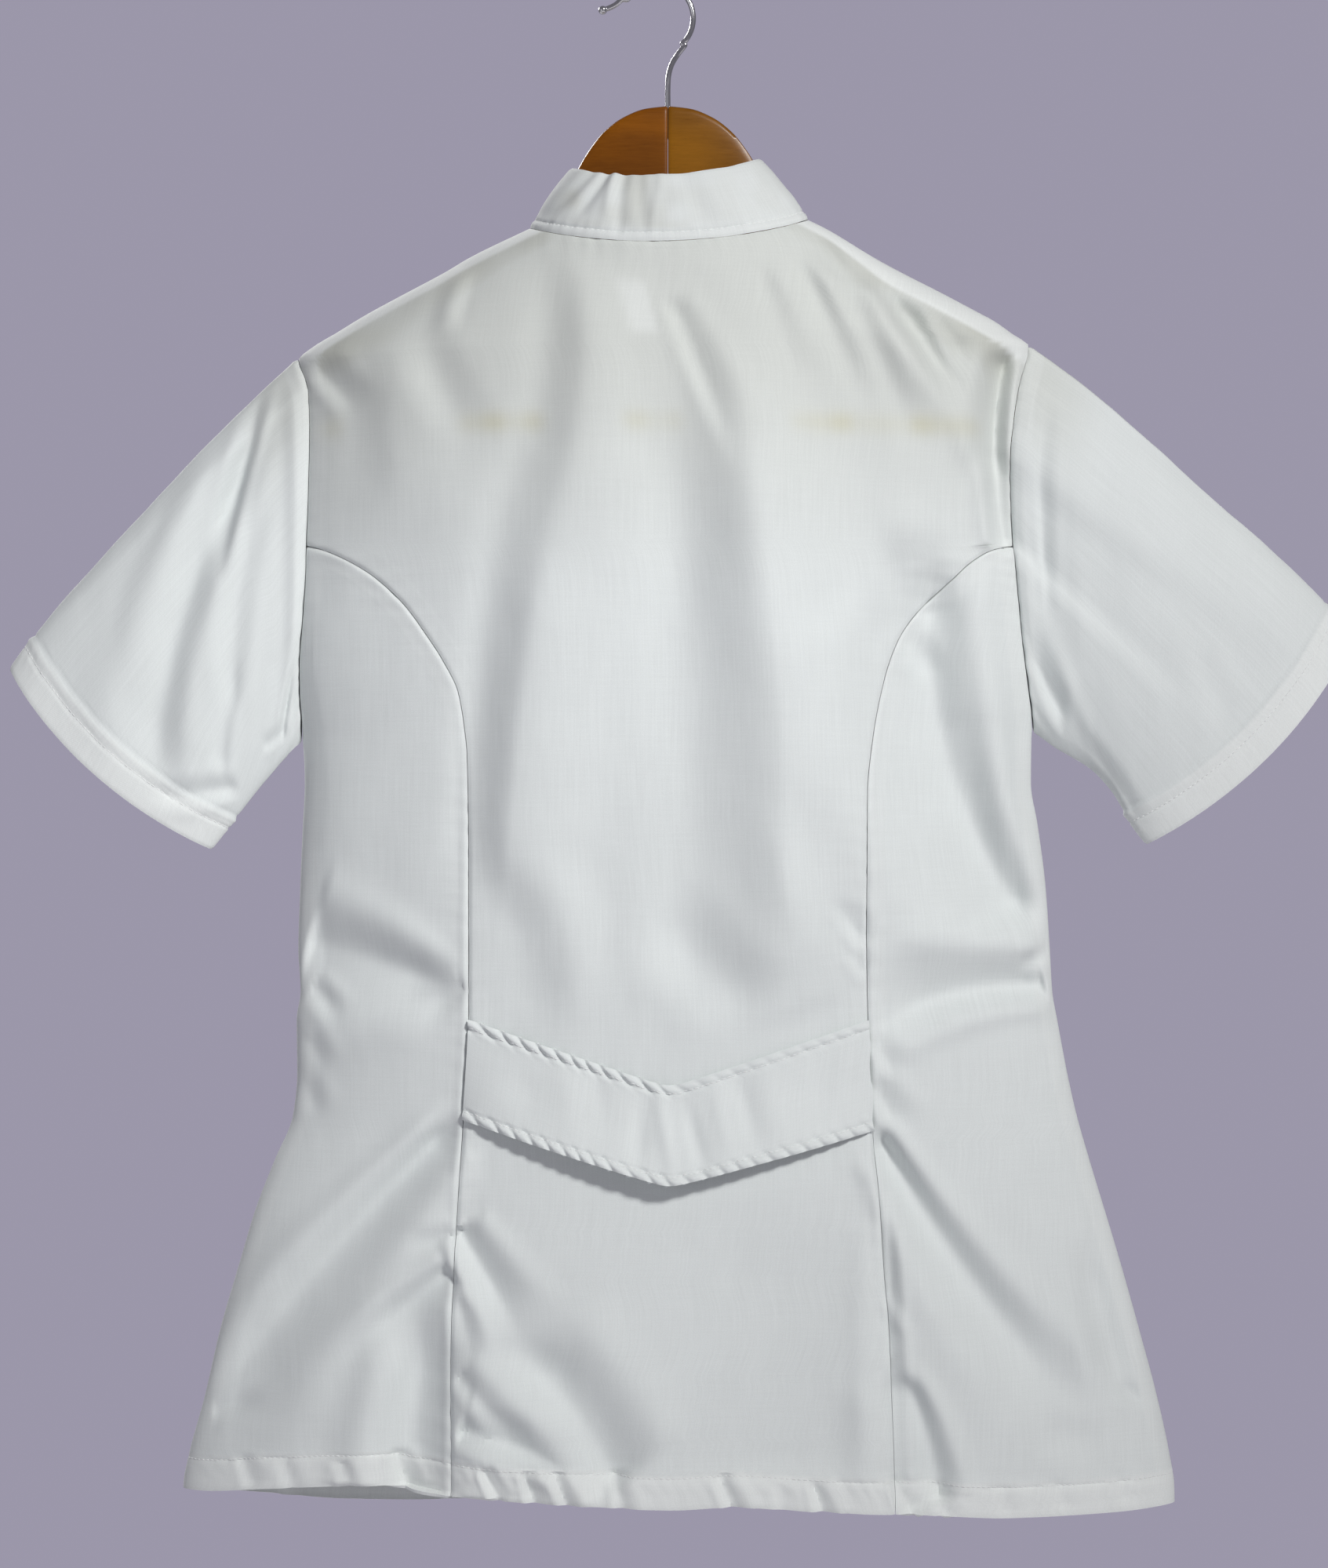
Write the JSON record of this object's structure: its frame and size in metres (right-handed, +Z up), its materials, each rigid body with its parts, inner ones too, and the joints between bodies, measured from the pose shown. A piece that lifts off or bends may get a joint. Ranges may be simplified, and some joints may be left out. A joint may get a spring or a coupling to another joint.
{
  "type": "medical jacket on a hanger",
  "caption": "Short-sleeved medical jacket with stand collar, princess seams and a V-shaped back belt, hung on a wooden hanger with a wire hook.",
  "frame": {"origin": "inner crown of the hook, where the hanger rests on a rail or nail", "axes": "+Z up, -Y out of the jacket's back, which the picture shows, +X to the right as seen from behind"},
  "size_m": [0.7426, 0.1235, 0.8409],
  "materials": {
    "cloth_white": "crisp white cotton and polyester cloth",
    "button_white": "plain white buttons",
    "wood_amber": "varnished, darker half",
    "wood_honey": "varnished, lighter half",
    "hook_chrome": "plated wire"
  },
  "bodies": {
    "root": {"back_centre": "cloth_white", "back_side_left": "cloth_white", "back_side_right": "cloth_white", "front_left": "cloth_white", "front_right": "cloth_white", "sleeve_left": "cloth_white", "sleeve_right": "cloth_white", "collar": "cloth_white", "back_belt": "cloth_white", "button_1": "button_white", "button_2": "button_white", "button_3": "button_white", "button_4": "button_white", "button_5": "button_white", "hanger_left": "wood_amber", "hanger_right": "wood_honey", "hanger_bar": "wood_honey", "hook": "hook_chrome"}
  },
  "joints": []
}
